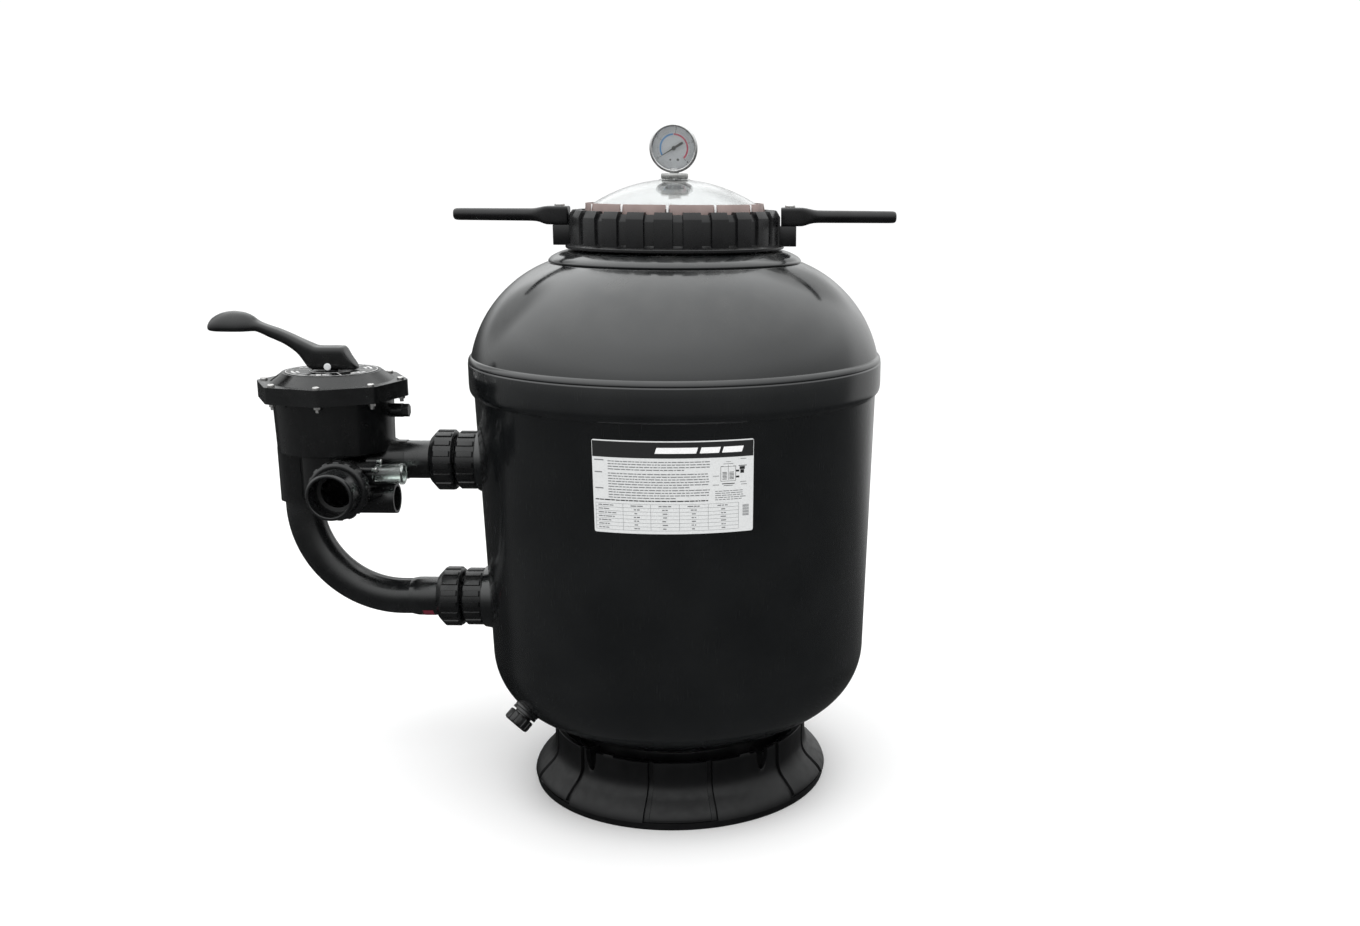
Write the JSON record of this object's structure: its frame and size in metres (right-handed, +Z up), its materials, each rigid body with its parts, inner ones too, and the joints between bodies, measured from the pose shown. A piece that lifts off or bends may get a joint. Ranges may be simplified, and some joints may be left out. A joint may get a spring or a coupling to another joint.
{
  "type": "sand filter tank",
  "caption": "Side-mount sand filter tank on a flared base, with multiport valve and lever, screw-down clear lid with pressure gauge, pipe unions and drain.",
  "frame": {"origin": "centre of the base stand on the ground", "axes": "+Z up along the tank axis, -Y the front with the label, -X from the tank to the side-mounted valve"},
  "size_m": [0.887, 0.53, 0.8645],
  "materials": {
    "base_plastic": "satin",
    "shell": "gloss",
    "label_film": "satin film",
    "seal_rubber": "matte",
    "clear_plastic": "clear polished plastic",
    "slip_ring_plastic": "satin",
    "ring_plastic": "fine texture",
    "screw_steel": "brushed",
    "plated_brass": "nickel plated",
    "gauge_steel": "polished",
    "lens": "clear",
    "dial": "printed",
    "pointer_black": "matte",
    "brass": "machined",
    "nut_plastic": "satin",
    "valve_plastic": "semi-gloss",
    "rotor_plastic": "satin",
    "pipe_plastic": "semi-gloss",
    "sight_plastic": "clear, faint green",
    "inner_plastic": "satin"
  },
  "bodies": {
    "tank": {"base_stand": "base_plastic", "tank_lower_body": "shell", "tank_upper_dome": "shell", "label": "label_film", "neck_seal": "seal_rubber", "bulkhead_gaskets": "seal_rubber", "union_o_rings": "seal_rubber", "cover_o_ring": "seal_rubber", "spider_gasket": "seal_rubber", "port_o_rings": "seal_rubber", "cover_screws": "screw_steel", "cover_nuts": "screw_steel", "sight_glass_screws": "screw_steel", "tank_nuts": "nut_plastic", "valve_body": "valve_plastic", "valve_cover": "valve_plastic", "valve_plug": "valve_plastic", "position_plate": "valve_plastic", "upper_bulkhead": "pipe_plastic", "lower_bulkhead": "pipe_plastic", "upper_union_tail": "pipe_plastic", "lower_union_tail": "pipe_plastic", "elbow_pipe": "pipe_plastic", "pump_port_tail": "pipe_plastic", "return_port_tail": "pipe_plastic", "drain_fitting": "pipe_plastic", "sight_glass": "sight_plastic", "upper_inner_pipe": "inner_plastic", "top_diffuser": "inner_plastic", "lower_inner_pipe": "inner_plastic", "lateral_hub": "inner_plastic", "laterals": "inner_plastic"},
    "lid": {"lid": "clear_plastic", "gauge_adaptor": "plated_brass", "gauge_lock_nut": "plated_brass", "gauge_case": "gauge_steel", "gauge_bezel": "gauge_steel", "gauge_lens": "lens", "gauge_dial": "dial", "gauge_movement": "brass", "bourdon_tube": "brass"},
    "slip_ring": {"slip_ring": "slip_ring_plastic"},
    "lock_ring": {"lock_ring": "ring_plastic", "handle_bar_left": "ring_plastic", "handle_bar_right": "ring_plastic", "handle_bar_bolts": "screw_steel"},
    "pointer": {"gauge_pointer": "pointer_black"},
    "upper_union_nut": {"upper_union_nut": "nut_plastic"},
    "lower_union_nut": {"lower_union_nut": "nut_plastic"},
    "pump_port_nut": {"pump_port_nut": "nut_plastic"},
    "return_port_nut": {"return_port_nut": "nut_plastic"},
    "spring_seat": {"spring_washer": "screw_steel", "valve_spring": "screw_steel"},
    "valve_rotor": {"valve_rotor": "rotor_plastic", "stem_o_rings": "seal_rubber", "handle_pin": "screw_steel"},
    "valve_handle": {"valve_handle": "valve_plastic"},
    "drain_washer": {"drain_washer": "seal_rubber"},
    "drain_cap": {"drain_cap": "nut_plastic"}
  },
  "joints": [
    {"name": "lid_lift", "type": "slide", "parent": "tank", "child": "lid", "axis": [0, 0, 1], "range_m": [0, 0.15]},
    {"name": "slip_rise", "type": "slide", "parent": "lid", "child": "slip_ring", "axis": [0, 0, 1], "range_m": [0, 0.0121]},
    {"name": "ring_turn", "type": "hinge", "parent": "slip_ring", "child": "lock_ring", "pos_m": [0, 0, 0.735], "axis": [0, 0, 1], "range_deg": [0, 720]},
    {"name": "pointer_turn", "type": "hinge", "parent": "lid", "child": "pointer", "pos_m": [0, -0.008, 0.8345], "axis": [0, 1, 0], "range_deg": [0, 256]},
    {"name": "upper_union_turn", "type": "hinge", "parent": "tank", "child": "upper_union_nut", "pos_m": [-0.3075, 0, 0.4337], "axis": [-1, 0, 0], "range_deg": [0, 1080]},
    {"name": "lower_union_turn", "type": "hinge", "parent": "tank", "child": "lower_union_nut", "pos_m": [-0.3075, 0, 0.2444], "axis": [-1, 0, 0], "range_deg": [0, 1080]},
    {"name": "pump_nut_turn", "type": "hinge", "parent": "tank", "child": "pump_port_nut", "pos_m": [-0.422, -0.0885, 0.411], "axis": [0, -1, 0], "range_deg": [0, 1080]},
    {"name": "return_nut_turn", "type": "hinge", "parent": "tank", "child": "return_port_nut", "pos_m": [-0.422, 0.0885, 0.411], "axis": [0, 1, 0], "range_deg": [0, 1080]},
    {"name": "stem_lift", "type": "slide", "parent": "tank", "child": "spring_seat", "axis": [0, 0, 1], "range_m": [0, 0.0051], "deforming": ["valve_spring"]},
    {"name": "selector_turn", "type": "hinge", "parent": "spring_seat", "child": "valve_rotor", "pos_m": [-0.45, 0, 0.5], "axis": [0, 0, 1], "continuous": true},
    {"name": "handle_press", "type": "hinge", "parent": "valve_rotor", "child": "valve_handle", "pos_m": [-0.45, 0, 0.558], "axis": [0, -1, 0], "range_deg": [0, 12], "stiffness_Nm_per_rad": 8, "springref_deg": -5.73},
    {"name": "drain_cap_back", "type": "slide", "parent": "tank", "child": "drain_washer", "axis": [-0.6232, -0.4031, -0.6702], "range_m": [0, 0.0121]},
    {"name": "drain_cap_turn", "type": "hinge", "parent": "drain_washer", "child": "drain_cap", "pos_m": [-0.1875, -0.1215, 0.1305], "axis": [-0.6232, -0.4031, -0.6702], "range_deg": [0, 1080]}
  ],
  "couplings": [
    {"joint": "slip_rise", "follows": "ring_turn", "m_per_rad": 0.00095493},
    {"joint": "stem_lift", "follows": "handle_press", "m_per_rad": 0.023873},
    {"joint": "drain_cap_back", "follows": "drain_cap_turn", "m_per_rad": 0.00063662}
  ]
}
